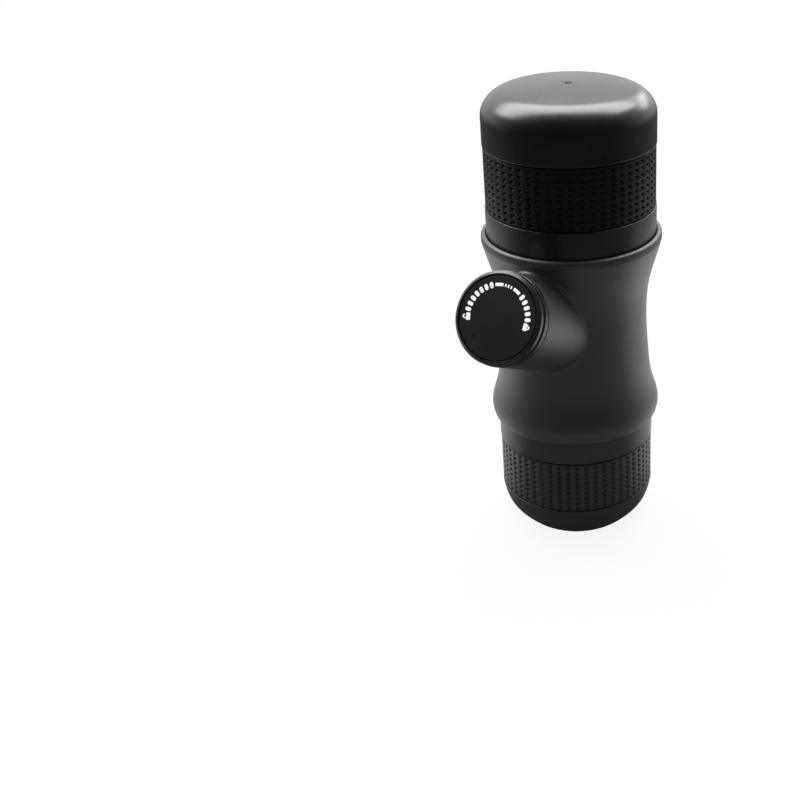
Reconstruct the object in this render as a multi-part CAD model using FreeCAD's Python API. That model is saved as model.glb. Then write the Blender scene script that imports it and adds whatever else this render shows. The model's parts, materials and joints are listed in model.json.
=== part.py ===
import FreeCAD, Part
import math
import os

# Handheld manual espresso maker, standing on its own cup.
# Millimetres and degrees. +Z is up along the main axis, and the origin is the middle of the cup's foot.
# The pump's knob is on the -Y side, on an axis that rises away from the main axis.

# ------------------------------------------------------------------ clearances
THREAD_GAP = 0.3        # radial, crest of a thread to the socket that takes it
FIT_GAP = 0.3           # radial, a fixed piece dropped into its bore
RUN_GAP = 0.05          # radial, a piece that slides or turns in a bore
SEAT_GAP = 0.3          # between two faces that would touch only when screwed home
SIDE_GAP = 0.4          # radial, between two covers: cup to skirt, tank to collar
EDGE_ROUND = 0.3        # radius that breaks the visible edges

# ------------------------------------------------------------------ cup
CUP_R = 29.8            # outside of the rim and of the grip
CUP_H = 48.0
CUP_FOOT_INSET = 11.3   # the flat that it stands on ends this far inside the rim
CUP_ROUND_H = 20.0      # height of the rounded lower part
CUP_BOWL = [(0.48, 0.20), (0.79, 0.42), (0.95, 0.68)]   # its curve: shares of the way out and up
CUP_BOWL_START = (1, 0.35)   # direction in which that curve leaves the foot
CUP_WALL = 2.0
CUP_FLOOR = 2.6
CUP_LIP_WALL = 1.5      # the rim is thinner where it slips over its seal
CUP_LIP_H = 5.0
CUP_RIM_ROUND = 0.5
CUP_ENTRY = 1.3         # how far the rim goes up inside the body's skirt
CUP_GRIP_Z = 16.2       # lower edge of the rubber grip
CUP_GRIP_H = 21.1
CUP_GRIP_T = 1.1        # thickness of the rubber
GRIP_SINK = 0.25        # the grips lie this much below the surface beside them

# ------------------------------------------------------------------ body shell
BODY_H = 74.1           # bottom edge of the skirt to the top of the collar
SKIRT_EDGE_WALL = 1.4   # wall at the bottom edge
SKIRT_WALL = 2.05       # wall at the widest part of the skirt
SKIRT_RISE = 3.8        # height of that part above the bottom edge
SKIRT_LIP = 1.1         # radius that rounds the bottom edge
SKIRT_LIP_FLARE = 0.1   # the side already leans out this much at the end of that round
SKIRT_BORE_H = 7.0      # depth of the wide bore that takes the cup's rim
FLANGE_BORE_H = 16.0    # bottom edge to the ledge that the brew flange meets
FLANGE_LEDGE = 2.5      # width of that ledge
WAIST_WALL = 2.2        # wall at the narrowest part
WAIST_RISE = 39.8       # its height above the bottom edge
FLARE_OUT = 2.7         # how much wider than the waist the side is just above the skirt
FLARE_RISE = 11.8
LOWER_OUT = 0.85        # the same halfway up to the waist
LOWER_RISE = 23.8
UPPER_OUT = 1.1         # the same above the waist
UPPER_DROP = 19.3       # how far that is below the collar's top
SWELL_OUT = 3.8         # the same under the collar
SWELL_DROP = 9.2
COLLAR_WALL = 1.6
COLLAR_BAND = 2.8       # height of the collar band
COLLAR_LIP = 1.3        # radius that rounds the collar's upper edge
COLLAR_DEPTH = 2.6      # how far the tank sinks into the collar

# ------------------------------------------------------------------ water tank
TANK_R = 31.3
TANK_RISE = 54.2        # collar's top to the top of the tank
TANK_WALL = 2.0
TANK_TOP_WALL = 1.9     # at the edge of the top
TANK_ROUND = 9.0        # radius of the shoulder
TANK_CROWN = 1.6        # how far the middle of the top stands above its rim
TANK_EDGE = 0.4         # chamfer on the edge inside the collar
TANK_SEAT_W = 0.8       # step inside the tank's lower end that the mouth is welded to
TANK_GRIP_RISE = 9.9    # lower edge of the grip, above the collar's top
TANK_GRIP_H = 23.3
TANK_GRIP_T = 1.5
TANK_GATE_R = 1.4       # moulding mark in the middle of the top: a ring-shaped dimple round a nub
TANK_GATE_NUB_R = 0.6
TANK_GATE_DEPTH = 0.25
MOUTH_WALL = 2.2
MOUTH_H = 9.0           # length of the mouth below the tank's shoulder
MOUTH_PLAIN = 3.6       # how much of that has no thread
THREAD_DEPTH = 1.0
THREAD_LEAD = 6.0       # travel in one turn; two starts
THREAD_STARTS = 2
THREAD_WIDTH = 1.5      # width of a thread at its root
THREAD_CREST = 0.45     # share of that width left at the crest
THREAD_SUNK = 0.3       # how far a ridge's foot is buried in its wall

# ------------------------------------------------------------------ tank socket and pump core
SOCKET_STEP = 1.6       # the bore for the tank socket is this much wider than the waist bore
SOCKET_WALL = 1.7
SOCKET_FLANGE_W = 2.0   # flange that hangs the socket in the shell
SOCKET_FLANGE_T = 2.4
TANK_GASKET_T = 1.6
GASKET_LIP = 0.6        # the gasket reaches this much further in than the mouth
CORE_WALL = 2.2
CORE_FLOOR_T = 3.2
CORE_RIM_T = 1.9        # height of the core's rim, which carries the socket
DECK_T = 3.5            # floor that carries the water
HOUSING_WALL = 3.0      # wall round the pump barrel
DUCT_R = 4.2            # water duct from the deck to the pump
PORT_R = 1.4
INLET_Y = 5.0
OUTLET_Y = -1.1
SCREW_EDGE = 2.1        # middle of a core screw to the core's side
SCREW_R = 1.2
SCREW_HEAD_R = 2.0
SCREW_HEAD_T = 1.6
SCREW_LENGTH = 12.0
SCREW_COUNT = 4
SCREW_START = 45.0      # bearing of the first screw
PILLAR_R = 3.0
PILLAR_H = 12.0
HEX_R = 0.8             # hexagon sockets in the small screws
HEX_DEPTH = 0.9

# ------------------------------------------------------------------ pump
PUMP_TILT = 28.0        # rise of the pump axis above the horizontal
PUMP_CLEAR = 4.2        # lowest point of the pump barrel to the brew flange
PISTON_R = 7.0
STROKE = 13.0
LINER_WALL = 0.85
BARREL_WALL = 2.05
BARREL_START = -6.0     # inner end of the barrel, measured from the main axis along the pump axis
BARREL_END_WALL = 2.0
BARREL_FLANGE_T = 2.0
CHAMBER_GAP = 3.0       # left in front of the piston when it is pushed home
BARREL_SCREW_COUNT = 3
BARREL_SCREW_START = -90.0
BARREL_SCREW_R = 0.9
BARREL_SCREW_WEB = 1.3  # left between the barrel's bore and a screw
BARREL_SCREW_EDGE = 1.6 # middle of a screw to the flange's edge
BARREL_SCREW_HEAD_R = 1.5
BARREL_SCREW_HEAD_T = 1.0
BARREL_SCREW_L = 5.5
BARREL_SCREW_TIP = 0.5  # its hole is this much deeper than it
BARREL_HEX_DEPTH = 0.6
BOSS_WALL = 2.1
BOSS_LENGTH = 59.1      # main axis to the boss's mouth
BOSS_BLEND = 1.6        # radius where the boss meets the waist
BOSS_EDGE = 0.35        # chamfer on the boss's mouth, which makes a fine groove with the lock ring's
RING_T = 2.7            # visible width of the lock ring
RING_SPIGOT = 8.0       # length of the lock ring inside the boss
RING_EDGE = 0.35
SPIGOT_WALL = 1.4
SLEEVE_WALL = 1.2       # sleeve of the knob, which slides in the lock ring
SLEEVE_LAP = 1.5        # how much of it is still in the ring when the knob is right out
SLEEVE_GAP = 1.25       # its end to the barrel's screws when the knob is pushed home
PISTON_HEAD_L = 9.0
ROD_R = 4.6
ROD_GUIDE_L = 4.5
SEAL_SECTION_R = 0.8
SEAL_GAP = 0.05         # radial, piston seal to liner
SEAL_PITCH = 4.4
SPRING_WIRE_R = 0.55
SPRING_GAP = 1.15       # radial, spring to sleeve
SPRING_TURNS = 5
COIL_STEPS = 4          # pieces that one turn of the coil is swept in

# ------------------------------------------------------------------ knob
KNOB_GAP = 0.35         # lock ring to knob when it is pushed home
KNOB_T = 2.75
KNOB_STEP = 0.35        # the knob is this much narrower than the lock ring
KNOB_BEVEL_W = 1.0      # bevel round the knob's front, measured across
KNOB_BEVEL_H = 0.8      # the same bevel, measured along the pump axis
KNOB_RIM = 0.4          # width of the flat rim between the bevel and the face disc
FACE_T = 0.9
FACE_SINK = 0.15        # the disc lies this much below the rim
FACE_GAP = 0.4          # radial; it shows as a dark line round the disc
FACE_EDGE = 0.2
FACE_GATE = (-7.1, -7.4)   # moulding mark on the disc, from its middle: to the right, and up
FACE_GATE_R = 0.7
FACE_GATE_NUB_R = 0.3
FACE_GATE_DEPTH = 0.12
KNOB_PLATE_T = 1.6
HUB_R = 6.5
HUB_L = 5.0
KNOB_SCREW_R = 1.5
KNOB_SCREW_HEAD_R = 3.0
KNOB_SCREW_HEAD_T = 1.2
KNOB_SCREW_L = 14.0
KNOB_HEX_R = 1.2
KNOB_HEX_DEPTH = 0.7

# ------------------------------------------------------------------ brewing end
FLANGE_T = 3.5
FLANGE_WALL = 2.0
FLANGE_DROP = 18.1      # length of the brew flange's socket, over all
FLANGE_CUP_GAP = 0.6    # radial, socket to the inside of the cup's rim
CUP_SEAL_R = 0.7        # section of the ring that holds the cup
CUP_SEAL_SUNK = 0.3     # how far the middle of its section is below the socket's surface
CUP_SEAL_RISE = 1.9     # its height above the socket's end
CUP_STOP_W = 1.7        # ring on the brew flange that the cup's rim meets
CUP_STOP_T = 1.5
SCREEN_LAP = 0.7        # how far the gasket laps the edge of the shower screen, and holds it up
SCREEN_T = 0.6
SCREEN_GAP = 0.9        # water spreads above the screen here
SCREEN_LEDGE = 1.0      # width of the step that the screen lies against
SCREEN_HOLE_R = 0.9
SCREEN_HOLE_PITCH = 4.6
SCREEN_HOLE_RINGS = 3
VALVE_R = 4.0
VALVE_POCKET = 1.9      # depth of the pocket that a valve lies in
VALVE_DISC_T = 0.85
VALVE_STEM_R = 1.0
VALVE_STEM_L = 1.8
FLANGE_PORT_R = 0.85    # ports under the outlet valve
FLANGE_PORT_CIRCLE = 2.4
BREW_GASKET_T = 2.6
BREW_GASKET_W = 5.2
HEAD_THREAD_H = 5.4
HEAD_LENGTH = 47.9
HEAD_SIDE_GAP = 0.8     # radial, outlet head to the inside of the cup
HEAD_TAPER = 1.0        # the head is this much narrower at the start of its rounded end
HEAD_ROUND = 12.0
HEAD_SOCKET_WALL = 2.4  # wall round the basket's rim
HEAD_WALL = 3.0         # thickness above the dish
FUNNEL_SPIGOT_W = 2.5   # the funnel's spigot, which is pressed up into the head
FUNNEL_SPIGOT_H = 4.0
DISH_R = 10.5
DISH_DEPTH = 1.6
SPOUT_R = 3.6
NOZZLE_WALL = 3.0       # the nozzle's wall at its lower end
NOZZLE_LIP = 0.8        # how far the nozzle stands out below the dish
NOZZLE_THROAT = 1.6     # length of its straight bore
FUNNEL_STEP = 4.3       # width of the step between the basket's bore and the funnel
BASKET_GAP = 0.5        # radial, basket to its bore
BASKET_WALL = 0.8
BASKET_RIM_W = 2.1
BASKET_RIM_T = 1.2
BASKET_H = 20.0
BASKET_HOLE_R = 0.8
BASKET_HOLE_PITCH = 4.4
BASKET_HOLE_RINGS = 3
HOLES_PER_RING = 6      # each ring of holes has this many more than the one inside it

# ------------------------------------------------------------------ small parts on the deck
FILTER_R = 6.0
FILTER_T = 0.8
FILTER_HOLE_R = 0.6
FILTER_HOLE_PITCH = 2.1
FILTER_HOLE_RINGS = 2
VENT_Y = -14.0
VENT_HOLE_R = 1.5
VENT_HEAD_R = 3.4
VENT_HEAD_T = 0.9
VENT_STEM_R = 1.0
VENT_TAIL_R = 2.0
VENT_TAIL_T = 1.2

# ------------------------------------------------------------------ helpers' values
OVERRUN = 1.0           # how far a cutting shape runs past the face that it opens
LONG = 200.0            # longer than anything it cuts
TOUCH = 0.01            # two places closer than this are the same
CIRCLE_PULL = 0.5523    # share of a corner's side that makes a Bezier curve follow a quarter circle
FULL_TURN = 360.0
HEX_SIDES = 6

# ------------------------------------------------------------------ radii that follow
CUP_FOOT_R = CUP_R - CUP_FOOT_INSET
CUP_BORE_R = CUP_R - CUP_LIP_WALL
SKIRT_BORE_R = CUP_R + SIDE_GAP
SKIRT_EDGE_R = SKIRT_BORE_R + SKIRT_EDGE_WALL
SKIRT_R = SKIRT_BORE_R + SKIRT_WALL
FLANGE_R = CUP_BORE_R - FLANGE_CUP_GAP
FLANGE_BORE_R = FLANGE_R - FLANGE_WALL
FLANGE_SEAT_R = FLANGE_R + FIT_GAP
WAIST_BORE_R = FLANGE_SEAT_R - FLANGE_LEDGE
WAIST_R = WAIST_BORE_R + WAIST_WALL
CORE_R = WAIST_BORE_R - FIT_GAP
UPPER_BORE_R = WAIST_BORE_R + SOCKET_STEP
SOCKET_OUT_R = UPPER_BORE_R - FIT_GAP
SOCKET_R = SOCKET_OUT_R - SOCKET_WALL
SOCKET_FLANGE_R = UPPER_BORE_R + SOCKET_FLANGE_W
MOUTH_R = SOCKET_R - THREAD_GAP - THREAD_DEPTH
COLLAR_BORE_R = TANK_R + SIDE_GAP
COLLAR_R = COLLAR_BORE_R + COLLAR_WALL
TANK_GROOVE_R = TANK_R - TANK_GRIP_T
TANK_BORE_R = TANK_GROOVE_R - TANK_WALL
TANK_SEAT_R = TANK_BORE_R + TANK_SEAT_W
NECK_R = MOUTH_R - MOUTH_WALL
SCREW_CIRCLE_R = CORE_R - SCREW_EDGE
HEAD_THREAD_R = FLANGE_BORE_R - THREAD_GAP - THREAD_DEPTH
HEAD_RIM_BORE_R = HEAD_THREAD_R - HEAD_SOCKET_WALL
HEAD_R = CUP_R - CUP_WALL - HEAD_SIDE_GAP
HEAD_LOW_R = HEAD_R - HEAD_TAPER
BASKET_RIM_R = HEAD_RIM_BORE_R - FIT_GAP
BASKET_R = BASKET_RIM_R - BASKET_RIM_W
HEAD_BORE_R = BASKET_R + BASKET_GAP
FUNNEL_R = HEAD_BORE_R - FUNNEL_STEP
FUNNEL_SEAT_R = FUNNEL_R + FUNNEL_SPIGOT_W
NOZZLE_R = SPOUT_R + NOZZLE_WALL
BREW_GASKET_OUT = SCREW_CIRCLE_R - SCREW_HEAD_R
BREW_GASKET_IN = BREW_GASKET_OUT - BREW_GASKET_W
SCREEN_R = BREW_GASKET_IN + SCREEN_LAP
LINER_R = PISTON_R + RUN_GAP
LINER_OUT_R = LINER_R + LINER_WALL
BARREL_BORE_R = LINER_OUT_R + RUN_GAP
BARREL_R = BARREL_BORE_R + BARREL_WALL
HOUSING_BORE_R = BARREL_R + RUN_GAP
BARREL_SCREW_CIRCLE = BARREL_R + FIT_GAP + BARREL_SCREW_WEB + BARREL_SCREW_R
BARREL_FLANGE_R = BARREL_SCREW_CIRCLE + BARREL_SCREW_EDGE
BOSS_BORE_R = BARREL_FLANGE_R + FIT_GAP
BOSS_R = BOSS_BORE_R + BOSS_WALL
SPIGOT_R = BOSS_BORE_R - RUN_GAP
GUIDE_BORE_R = SPIGOT_R - SPIGOT_WALL
SLEEVE_R = GUIDE_BORE_R - RUN_GAP
SLEEVE_BORE_R = SLEEVE_R - SLEEVE_WALL
SPRING_R = SLEEVE_BORE_R - SPRING_GAP - SPRING_WIRE_R
SEAL_R = LINER_R - SEAL_GAP - SEAL_SECTION_R
KNOB_SIDE_R = BOSS_R - KNOB_STEP
KNOB_FLAT_R = KNOB_SIDE_R - KNOB_BEVEL_W
FACE_BORE_R = KNOB_FLAT_R - KNOB_RIM

# ------------------------------------------------------------------ heights that follow
V = FreeCAD.Vector
ORIGIN = V(0, 0, 0)
UP = V(0, 0, 1)
SIDEWAYS = V(1, 0, 0)
OUT = V(0, -math.cos(math.radians(PUMP_TILT)), math.sin(math.radians(PUMP_TILT)))

CUP_GRIP_TOP = CUP_GRIP_Z + CUP_GRIP_H
SKIRT_Z = CUP_H - CUP_ENTRY
COLLAR_Z = SKIRT_Z + BODY_H
LEDGE_Z = COLLAR_Z - COLLAR_DEPTH
TANK_TOP_Z = COLLAR_Z + TANK_RISE
TANK_RIM_Z = TANK_TOP_Z - TANK_CROWN
TANK_GRIP_Z = COLLAR_Z + TANK_GRIP_RISE
TANK_GRIP_TOP = TANK_GRIP_Z + TANK_GRIP_H
TANK_SHOULDER_Z = LEDGE_Z + SEAT_GAP
TANK_FLOOR_Z = TANK_SHOULDER_Z + TANK_WALL
MOUTH_END_Z = TANK_SHOULDER_Z - MOUTH_H
TANK_THREAD_Z = MOUTH_END_Z + THREAD_WIDTH
TANK_THREAD_H = MOUTH_H - MOUTH_PLAIN
DECK_Z = MOUTH_END_Z - TANK_GASKET_T
DECK_UNDER_Z = DECK_Z - DECK_T
SOCKET_SEAT_Z = LEDGE_Z - SOCKET_FLANGE_T
UPPER_BORE_Z = DECK_Z - CORE_RIM_T
FLANGE_TOP_Z = SKIRT_Z + FLANGE_BORE_H
FLANGE_FACE_Z = FLANGE_TOP_Z - FLANGE_T
FLANGE_END_Z = FLANGE_TOP_Z - FLANGE_DROP
SCREEN_TOP_Z = FLANGE_FACE_Z + SCREEN_T
HEAD_TOP_Z = FLANGE_FACE_Z - SEAT_GAP
HEAD_SHOULDER_Z = FLANGE_END_Z - SEAT_GAP
HEAD_THREAD_Z = HEAD_TOP_Z - THREAD_WIDTH - HEAD_THREAD_H
HEAD_END_Z = HEAD_TOP_Z - HEAD_LENGTH
DISH_Z = HEAD_END_Z + DISH_DEPTH
FUNNEL_TOP_Z = HEAD_END_Z + HEAD_ROUND
BASKET_TOP_Z = FLANGE_FACE_Z - BREW_GASKET_T
BASKET_SEAT_Z = BASKET_TOP_Z - BASKET_RIM_T
BASKET_END_Z = BASKET_TOP_Z - BASKET_H
PUMP_Z = FLANGE_TOP_Z + PUMP_CLEAR - BARREL_START * OUT.z - BARREL_R * OUT.y
HALF_PITCH_TURN = FULL_TURN / THREAD_STARTS / 2

# ------------------------------------------------------------------ places along the pump axis
RING_END = BOSS_LENGTH + RING_T
KNOB_START = RING_END + KNOB_GAP
KNOB_FRONT = KNOB_START + KNOB_T
FACE_FRONT = KNOB_FRONT - FACE_SINK
FACE_BACK = FACE_FRONT - FACE_T
SCREW_SEAT = FACE_BACK - KNOB_SCREW_HEAD_T
PLATE_BACK = SCREW_SEAT - KNOB_PLATE_T
ROD_END = PLATE_BACK - HUB_L
SLEEVE_END = KNOB_START - STROKE - SLEEVE_LAP
BARREL_FRONT = SLEEVE_END - SLEEVE_GAP - BARREL_SCREW_HEAD_T
BARREL_SEAT = BARREL_FRONT - BARREL_FLANGE_T
ROD_GUIDE_START = BARREL_FRONT - ROD_GUIDE_L
CHAMBER_START = BARREL_START + BARREL_END_WALL
PISTON_START = CHAMBER_START + CHAMBER_GAP
PISTON_HEAD_END = PISTON_START + PISTON_HEAD_L


class Profile:
    """A closed outline in the plane of radius and height, turned round the main axis."""

    def __init__(self, r, z):
        self.start = V(r, 0, z)
        self.end = self.start
        self.edges = []

    def line(self, r, z):
        point = V(r, 0, z)
        self.edges.append(Part.LineSegment(self.end, point).toShape())
        self.end = point
        return self

    def round_to(self, corner, r, z):
        """A quarter circle or ellipse that leaves and arrives along the sides of this corner."""
        last = V(r, 0, z)
        corner_point = V(corner[0], 0, corner[1])
        first_pull = self.end + (corner_point - self.end) * CIRCLE_PULL
        last_pull = last + (corner_point - last) * CIRCLE_PULL
        curve = Part.BezierCurve()
        curve.setPoles([self.end, first_pull, last_pull, last])
        self.edges.append(curve.toShape())
        self.end = last
        return self

    def curve(self, points, ways=None):
        """A smooth curve on through these points. The ways are its directions where it starts and ends."""
        places = [self.end] + [V(r, 0, z) for r, z in points]
        spline = Part.BSplineCurve()
        if ways:
            first, last = [V(r, 0, z) for r, z in ways]
            spline.interpolate(Points=places, InitialTangent=first, FinalTangent=last)
        else:
            spline.interpolate(places)
        self.edges.append(spline.toShape())
        self.end = places[-1]
        return self

    def solid(self):
        if self.end.distanceToPoint(self.start) > TOUCH:
            self.line(self.start.x, self.start.z)
        face = Part.Face(Part.Wire(self.edges))
        return face.revolve(ORIGIN, UP, FULL_TURN)


def drum(r, z0, z1, x=0.0, y=0.0):
    return Part.makeCylinder(r, z1 - z0, V(x, y, z0), UP)


def ring(r_in, r_out, z0, z1):
    return drum(r_out, z0, z1).cut(drum(r_in, z0, z1))


def on_pump_axis(shape):
    """Moves a shape that was made along +Z from the origin onto the pump axis."""
    moved = shape.copy()
    place = FreeCAD.Placement(V(0, 0, PUMP_Z), FreeCAD.Rotation(UP, OUT))
    moved.Placement = place.multiply(moved.Placement)
    return moved


def round_the_axis(shape, count, start=0.0):
    copies = []
    for index in range(count):
        copy = shape.copy()
        copy.rotate(ORIGIN, UP, start + FULL_TURN * index / count)
        copies.append(copy)
    return copies


def o_ring(r, section, z):
    return Part.makeTorus(r, section, V(0, 0, z), UP)


def fused(first, *others):
    return first.fuse(list(others)).removeSplitter()


def outer_rim(shape, z):
    """The widest of the round edges at this height."""
    level = [edge for edge in shape.Edges
             if edge.Closed and edge.BoundBox.ZLength < TOUCH and abs(edge.BoundBox.ZMax - z) < TOUCH]
    return max(level, key=lambda edge: edge.BoundBox.XMax)


def hole_field(r, pitch, rings, z0, z1):
    """A middle hole and rings of holes round it, one pitch apart, cut right through from z0 to z1."""
    low, high = z0 - OVERRUN, z1 + OVERRUN
    holes = [drum(r, low, high)]
    for index in range(1, rings + 1):
        hole = drum(r, low, high, x=pitch * index)
        holes += round_the_axis(hole, HOLES_PER_RING * index)
    return holes


def gate_dimple(r, nub_r, depth, z):
    """The ring-shaped dimple, round a nub, that a moulding gate leaves in a flat face at this height."""
    return ring(nub_r, r, z - depth, z + OVERRUN)


def thread_ridges(root_r, depth, z0, height, turn=0.0):
    """The raised helical ridges of a thread, one for each start, a little sunk in the wall under them.

    A negative depth raises them inwards. The turn sets them between the ridges of the mating thread.
    """
    foot_r = root_r - math.copysign(THREAD_SUNK, depth)
    crest_r = root_r + depth
    half = THREAD_WIDTH / 2
    crest = half * THREAD_CREST
    corners = [(foot_r, -half), (crest_r, -crest), (crest_r, crest), (foot_r, half), (foot_r, -half)]
    section = Part.makePolygon([V(r, 0, z) for r, z in corners])
    path = Part.makeHelix(THREAD_LEAD, height, root_r)
    ridge = Part.Wire(path.Edges).makePipeShell([section], True, True)
    ridge.translate(V(0, 0, z0))
    return round_the_axis(ridge, THREAD_STARTS, turn)


def screw(head_r, head_t, shank_r, length, hex_r, hex_depth):
    """A cap screw with its head's seat at the origin, its shank along +Z and its head below."""
    head = drum(head_r, -head_t, 0.0)
    shank = drum(shank_r, 0.0, length)
    turns = [2 * math.pi * side / HEX_SIDES for side in range(HEX_SIDES + 1)]
    corners = [V(hex_r * math.cos(turn), hex_r * math.sin(turn), -head_t) for turn in turns]
    hexagon = Part.makePolygon(corners)
    socket = Part.Face(Part.Wire(hexagon)).extrude(UP * hex_depth)
    return fused(head, shank).cut(socket)


def turned_over(shape):
    shape.rotate(ORIGIN, SIDEWAYS, FULL_TURN / 2)
    return shape


# ------------------------------------------------------------------ cup

def bowl(outline, foot_r, side_r, low, high):
    """Adds the cup's rounded lower part to an outline that has come to the edge of the foot."""
    width, height = side_r - foot_r, high - low
    points = [(foot_r + out * width, low + up * height) for out, up in CUP_BOWL]
    return outline.curve(points + [(side_r, high)], ways=(CUP_BOWL_START, (0, 1)))


def cup_form(inset=0.0):
    """The cup without its hollow, or the same form with every radius this much smaller."""
    side_r = CUP_R - inset
    outline = Profile(0, 0).line(CUP_FOOT_R - inset, 0)
    bowl(outline, CUP_FOOT_R - inset, side_r, 0.0, CUP_ROUND_H)
    outline.line(side_r, CUP_H - CUP_RIM_ROUND)
    outline.round_to((side_r, CUP_H), side_r - CUP_RIM_ROUND, CUP_H)
    return outline.line(0, CUP_H).solid()


def cup_hollow():
    foot_r = CUP_FOOT_R - CUP_WALL
    bore_r = CUP_R - CUP_WALL
    lip_z = CUP_H - CUP_LIP_H
    mouth_r = CUP_BORE_R + CUP_RIM_ROUND
    outline = Profile(0, CUP_FLOOR).line(foot_r, CUP_FLOOR)
    bowl(outline, foot_r, bore_r, CUP_FLOOR, CUP_ROUND_H)
    outline.line(bore_r, lip_z - (CUP_BORE_R - bore_r)).line(CUP_BORE_R, lip_z)
    outline.line(CUP_BORE_R, CUP_H - CUP_RIM_ROUND)
    outline.round_to((CUP_BORE_R, CUP_H), mouth_r, CUP_H)
    return outline.line(mouth_r, CUP_H + OVERRUN).line(0, CUP_H + OVERRUN).solid()


def cup_grip_zone(inset):
    """The sleeve between the cup's form, this much smaller, and the bottom of the groove for its grip."""
    band = drum(LONG, CUP_GRIP_Z, CUP_GRIP_TOP)
    return cup_form(inset).cut(cup_form(CUP_GRIP_T)).common(band)


def cup_body():
    shape = cup_form().cut([cup_hollow(), cup_grip_zone(-OVERRUN)])
    return shape.makeFillet(EDGE_ROUND, [outer_rim(shape, CUP_GRIP_Z), outer_rim(shape, CUP_GRIP_TOP)])


def cup_grip():
    return cup_grip_zone(GRIP_SINK)


# ------------------------------------------------------------------ body shell

def shell_form():
    side = [(SKIRT_R, SKIRT_Z + SKIRT_RISE),
            (WAIST_R + FLARE_OUT, SKIRT_Z + FLARE_RISE),
            (WAIST_R + LOWER_OUT, SKIRT_Z + LOWER_RISE),
            (WAIST_R, SKIRT_Z + WAIST_RISE),
            (WAIST_R + UPPER_OUT, COLLAR_Z - UPPER_DROP),
            (WAIST_R + SWELL_OUT, COLLAR_Z - SWELL_DROP),
            (COLLAR_R, COLLAR_Z - COLLAR_BAND)]
    outline = Profile(0, SKIRT_Z).line(SKIRT_EDGE_R - SKIRT_LIP, SKIRT_Z)
    outline.round_to((SKIRT_EDGE_R, SKIRT_Z), SKIRT_EDGE_R + SKIRT_LIP_FLARE, SKIRT_Z + SKIRT_LIP)
    outline.curve(side).line(COLLAR_R, COLLAR_Z - COLLAR_LIP)
    outline.round_to((COLLAR_R, COLLAR_Z), COLLAR_R - COLLAR_LIP, COLLAR_Z)
    return outline.line(0, COLLAR_Z).solid()


def boss_root(shape):
    """The edge where the boss meets the waist: it is on the boss's cylinder and off its mouth."""
    edges = []
    for edge in shape.Edges:
        middle = edge.valueAt((edge.FirstParameter + edge.LastParameter) / 2) - V(0, 0, PUMP_Z)
        along = middle.dot(OUT)
        away = (middle - OUT * along).Length
        straight = edge.Curve.TypeId == "Part::GeomLine"
        if abs(away - BOSS_R) < TOUCH and along < BOSS_LENGTH - OVERRUN and not straight:
            edges.append(edge)
    return edges


def barrel_screw_holes(z0, z1):
    hole = drum(BARREL_SCREW_R + RUN_GAP, z0, z1, x=BARREL_SCREW_CIRCLE)
    return round_the_axis(hole, BARREL_SCREW_COUNT, BARREL_SCREW_START)


def body_shell():
    boss = drum(BOSS_R, 0.0, BOSS_LENGTH)
    boss = on_pump_axis(boss.makeChamfer(BOSS_EDGE, [outer_rim(boss, BOSS_LENGTH)]))
    shape = fused(shell_form(), boss)
    shape = shape.makeFillet(BOSS_BLEND, boss_root(shape))
    bores = [drum(SKIRT_BORE_R, SKIRT_Z - OVERRUN, SKIRT_Z + SKIRT_BORE_H),
             drum(FLANGE_SEAT_R, SKIRT_Z, FLANGE_TOP_Z),
             drum(WAIST_BORE_R, SKIRT_Z, COLLAR_Z),
             drum(UPPER_BORE_R, UPPER_BORE_Z, COLLAR_Z),
             drum(SOCKET_FLANGE_R + FIT_GAP, SOCKET_SEAT_Z, COLLAR_Z),
             drum(COLLAR_BORE_R, LEDGE_Z, COLLAR_Z + OVERRUN)]
    pump_bores = [drum(BARREL_R + FIT_GAP, 0.0, BARREL_SEAT),
                  drum(BOSS_BORE_R, BARREL_SEAT, BOSS_LENGTH + OVERRUN)]
    pump_bores += barrel_screw_holes(BARREL_FRONT - BARREL_SCREW_L - BARREL_SCREW_TIP, BARREL_SEAT)
    return shape.cut(bores + [on_pump_axis(bore) for bore in pump_bores])


# ------------------------------------------------------------------ tank socket and pump core

def tank_socket():
    """The threaded ring that takes the tank's mouth. It stands on the core's rim and hangs in the shell."""
    outline = Profile(SOCKET_R, DECK_Z).line(SOCKET_OUT_R, DECK_Z).line(SOCKET_OUT_R, SOCKET_SEAT_Z)
    outline.line(SOCKET_FLANGE_R, SOCKET_SEAT_Z).line(SOCKET_FLANGE_R, LEDGE_Z).line(SOCKET_R, LEDGE_Z)
    ridges = thread_ridges(SOCKET_R, -THREAD_DEPTH, TANK_THREAD_Z, TANK_THREAD_H, HALF_PITCH_TURN)
    return fused(outline.solid(), *ridges)


def core_form():
    step_z = UPPER_BORE_Z + SEAT_GAP
    outline = Profile(0, FLANGE_TOP_Z).line(CORE_R, FLANGE_TOP_Z).line(CORE_R, step_z)
    outline.line(SOCKET_OUT_R, step_z).line(SOCKET_OUT_R, DECK_Z)
    return outline.line(0, DECK_Z).solid()


def core_screw_places(shape):
    return round_the_axis(shape, SCREW_COUNT, SCREW_START)


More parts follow.
